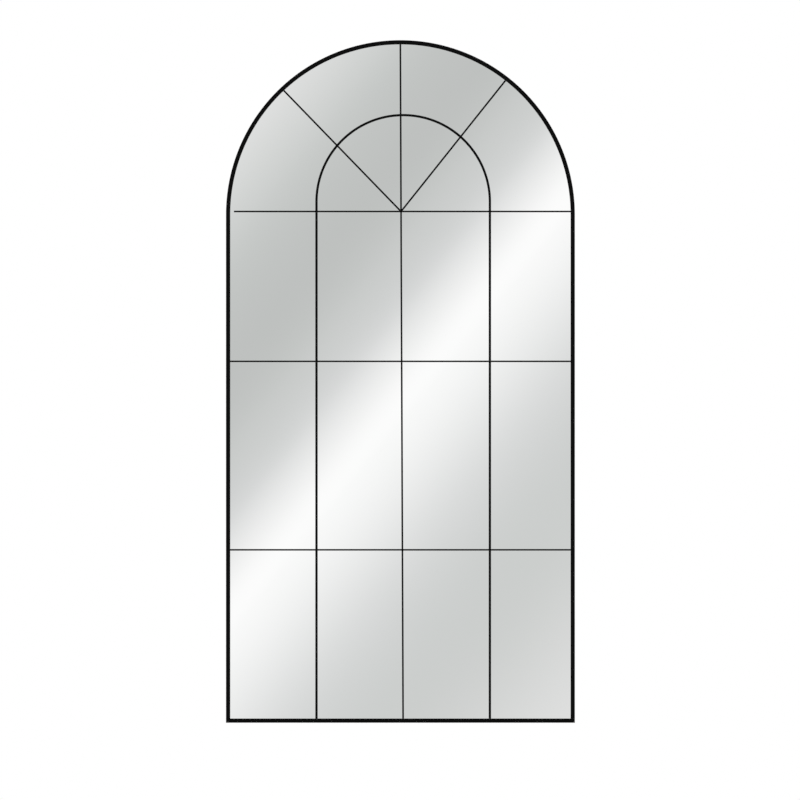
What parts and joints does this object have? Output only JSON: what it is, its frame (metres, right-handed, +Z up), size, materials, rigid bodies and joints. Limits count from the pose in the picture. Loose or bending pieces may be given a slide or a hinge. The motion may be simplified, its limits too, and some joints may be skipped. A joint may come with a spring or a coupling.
{
  "type": "arched window mirror",
  "caption": "Tall wall mirror with a round-topped thin black metal frame, an inner arch, crossing bars and fan spokes like a window.",
  "frame": {"origin": "on the wall, midway between the two wall screws that the hanging rings rest on when they are turned up", "axes": "+X to the right as one faces the mirror, +Y from the room into the wall, +Z up; the mirror faces -Y"},
  "size_m": [0.92, 0.0283, 1.8],
  "materials": {
    "black_steel": "fine matte black powder coat",
    "zinc_steel": "bright zinc plate",
    "black_rubber": "matte",
    "silvered_glass": "polished, silvered at the back",
    "white_foam": "soft, closed cell",
    "fibreboard": "raw pressed fibre, smooth"
  },
  "bodies": {
    "mirror": {"arch_head_left": "black_steel", "arch_head_right": "black_steel", "left_stile": "black_steel", "right_stile": "black_steel", "bottom_rail": "black_steel", "inner_hoop": "black_steel", "centre_bar": "black_steel", "upper_rail": "black_steel", "middle_rail": "black_steel", "lower_rail": "black_steel", "left_spoke": "black_steel", "right_spoke": "black_steel", "hanging_bar": "black_steel", "hanging_bar_left_flange": "black_steel", "hanging_bar_right_flange": "black_steel", "left_clip_1": "zinc_steel", "left_clip_2": "zinc_steel", "right_clip_1": "zinc_steel", "right_clip_2": "zinc_steel", "arch_clip_1": "zinc_steel", "arch_clip_2": "zinc_steel", "arch_clip_3": "zinc_steel", "arch_clip_4": "zinc_steel", "foot_clip_1": "zinc_steel", "foot_clip_2": "zinc_steel", "left_clip_1_screw": "zinc_steel", "left_clip_2_screw": "zinc_steel", "right_clip_1_screw": "zinc_steel", "right_clip_2_screw": "zinc_steel", "arch_clip_1_screw": "zinc_steel", "arch_clip_2_screw": "zinc_steel", "arch_clip_3_screw": "zinc_steel", "arch_clip_4_screw": "zinc_steel", "foot_clip_1_screw": "zinc_steel", "foot_clip_2_screw": "zinc_steel", "hanging_bar_left_screw_1": "zinc_steel", "hanging_bar_left_screw_2": "zinc_steel", "hanging_bar_right_screw_1": "zinc_steel", "hanging_bar_right_screw_2": "zinc_steel", "left_hanger_strap": "zinc_steel", "left_hanger_screw_1": "zinc_steel", "left_hanger_screw_2": "zinc_steel", "right_hanger_strap": "zinc_steel", "right_hanger_screw_1": "zinc_steel", "right_hanger_screw_2": "zinc_steel", "setting_block_left": "black_rubber", "setting_block_right": "black_rubber", "glazing_tape": "black_rubber", "lower_left_bumper": "black_rubber", "lower_right_bumper": "black_rubber", "upper_left_bumper": "black_rubber", "upper_right_bumper": "black_rubber", "mirror_pane": "silvered_glass", "foam_liner": "white_foam", "backing_board": "fibreboard"},
    "left_ring": {"left_hanger_ring": "zinc_steel"},
    "right_ring": {"right_hanger_ring": "zinc_steel"}
  },
  "joints": [
    {"name": "left_ring_swing", "type": "hinge", "parent": "mirror", "child": "left_ring", "pos_m": [-0.3, -0.007, -0.017], "axis": [1, 0, 0], "range_deg": [0, 180]},
    {"name": "right_ring_swing", "type": "hinge", "parent": "mirror", "child": "right_ring", "pos_m": [0.3, -0.007, -0.017], "axis": [1, 0, 0], "range_deg": [0, 180]}
  ]
}
